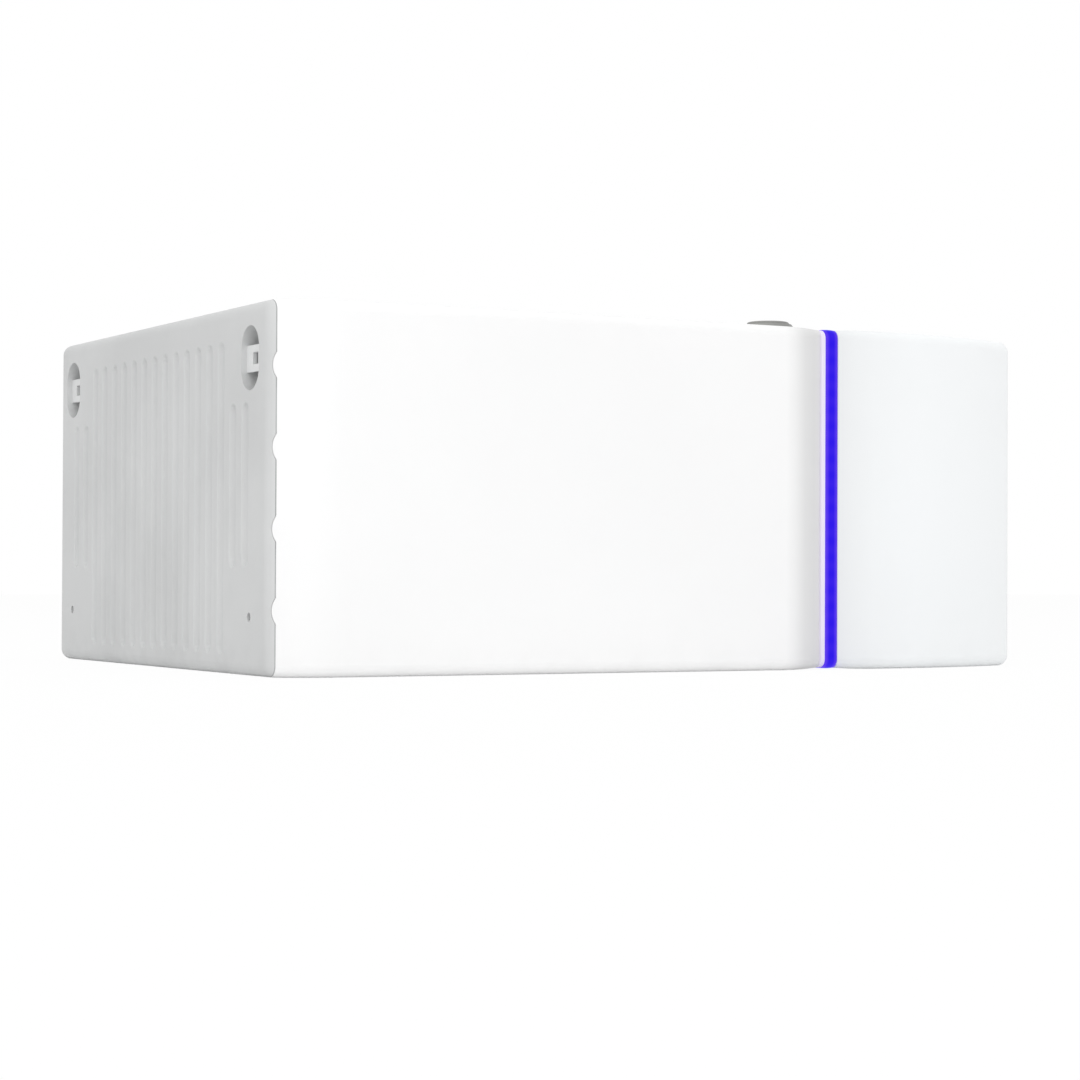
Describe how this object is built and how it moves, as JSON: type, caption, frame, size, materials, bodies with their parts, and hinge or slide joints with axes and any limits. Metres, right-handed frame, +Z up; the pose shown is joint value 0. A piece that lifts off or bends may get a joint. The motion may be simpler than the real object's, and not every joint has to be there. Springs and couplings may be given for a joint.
{
  "type": "wall battery unit",
  "caption": "Box-shaped home battery unit with a ribbed die-cast wall side, a smooth white wrap shell, a lit ring and a rounded front cap.",
  "frame": {"origin": "centre of the footprint, on the plane the unit stands on", "axes": "+Z up; +Y out of the ribbed wall side, towards the wall; +X to the side with the connector bay; the front cap faces -Y"},
  "size_m": [0.46, 0.624, 0.2544],
  "materials": {
    "casting": "fine satin powder coat on a die casting",
    "shell_white": "smooth white, low gloss",
    "cap_white": "smooth white with a faint cool tint",
    "rim": "translucent white",
    "light_guide": "violet-blue, lit from within",
    "seal": "matte",
    "button_grey": "dark warm grey, satin",
    "hook_steel": "light zinc paint",
    "screw_steel": "zinc plated",
    "sheet_steel": "galvanised sheet",
    "aluminium_plate": "milled",
    "cell_wrap": "aluminium can in blue film",
    "copper": "copper",
    "brass_fitting": "plain brass",
    "core_steel": "varnished laminations",
    "capacitor_can": "dark sleeve on an aluminium can",
    "ceramic_white": "glazed",
    "board_green": "solder mask",
    "board_white": "white solder mask",
    "black_plastic": "black moulded",
    "bay_grey": "dark grey moulded",
    "isolator_red": "red moulded"
  },
  "bodies": {
    "casing": {"bms_board": "board_green", "board_standoffs": "brass_fitting", "busbars": "copper", "button_bezel": "button_grey", "button_board": "board_green", "button_nut": "black_plastic", "button_spring": "screw_steel", "button_switch": "black_plastic", "casting_screws": "screw_steel", "cell_01": "cell_wrap", "cell_02": "cell_wrap", "cell_03": "cell_wrap", "cell_04": "cell_wrap", "cell_05": "cell_wrap", "cell_06": "cell_wrap", "cell_07": "cell_wrap", "cell_08": "cell_wrap", "cell_09": "cell_wrap", "cell_10": "cell_wrap", "cell_11": "cell_wrap", "cell_12": "cell_wrap", "cell_13": "cell_wrap", "cell_14": "cell_wrap", "cell_15": "cell_wrap", "cell_16": "cell_wrap", "cell_tray": "sheet_steel", "connector_bay": "bay_grey", "contactor": "black_plastic", "control_board": "board_green", "data_socket": "black_plastic", "earth_stud": "brass_fitting", "end_plate_left": "aluminium_plate", "end_plate_right": "aluminium_plate", "equipment_shelf": "sheet_steel", "front_cap": "cap_white", "front_cap_screws": "screw_steel", "front_gasket": "seal", "fuse_holders": "black_plastic", "hook_plate_left": "hook_steel", "hook_plate_right": "hook_steel", "isolator_body": "black_plastic", "led_strips": "board_white", "light_ring": "light_guide", "line_choke": "copper", "link_capacitors": "capacitor_can", "main_fuse": "ceramic_white", "mid_frame": "rim", "power_board": "board_green", "power_modules": "black_plastic", "power_socket_left": "black_plastic", "power_socket_right": "black_plastic", "rear_gasket": "seal", "rear_heat_sink": "casting", "tie_rods": "screw_steel", "transformer_coil": "copper", "transformer_core": "core_steel", "vent_plug": "black_plastic", "wrap_shell": "shell_white"},
    "power_button": {"button_cap": "button_grey"},
    "isolator_handle": {"isolator_knob": "isolator_red"}
  },
  "joints": [
    {"name": "power_button_press", "type": "slide", "parent": "casing", "child": "power_button", "axis": [0, 0, -1], "range_m": [0, 0.0025], "stiffness_N_per_m": 600, "springref_m": -0.004, "deforming": ["button_spring"]},
    {"name": "isolator_turn", "type": "hinge", "parent": "casing", "child": "isolator_handle", "pos_m": [0.2, 0.088, 0.19], "axis": [1, 0, 0], "range_deg": [0, 90]}
  ]
}
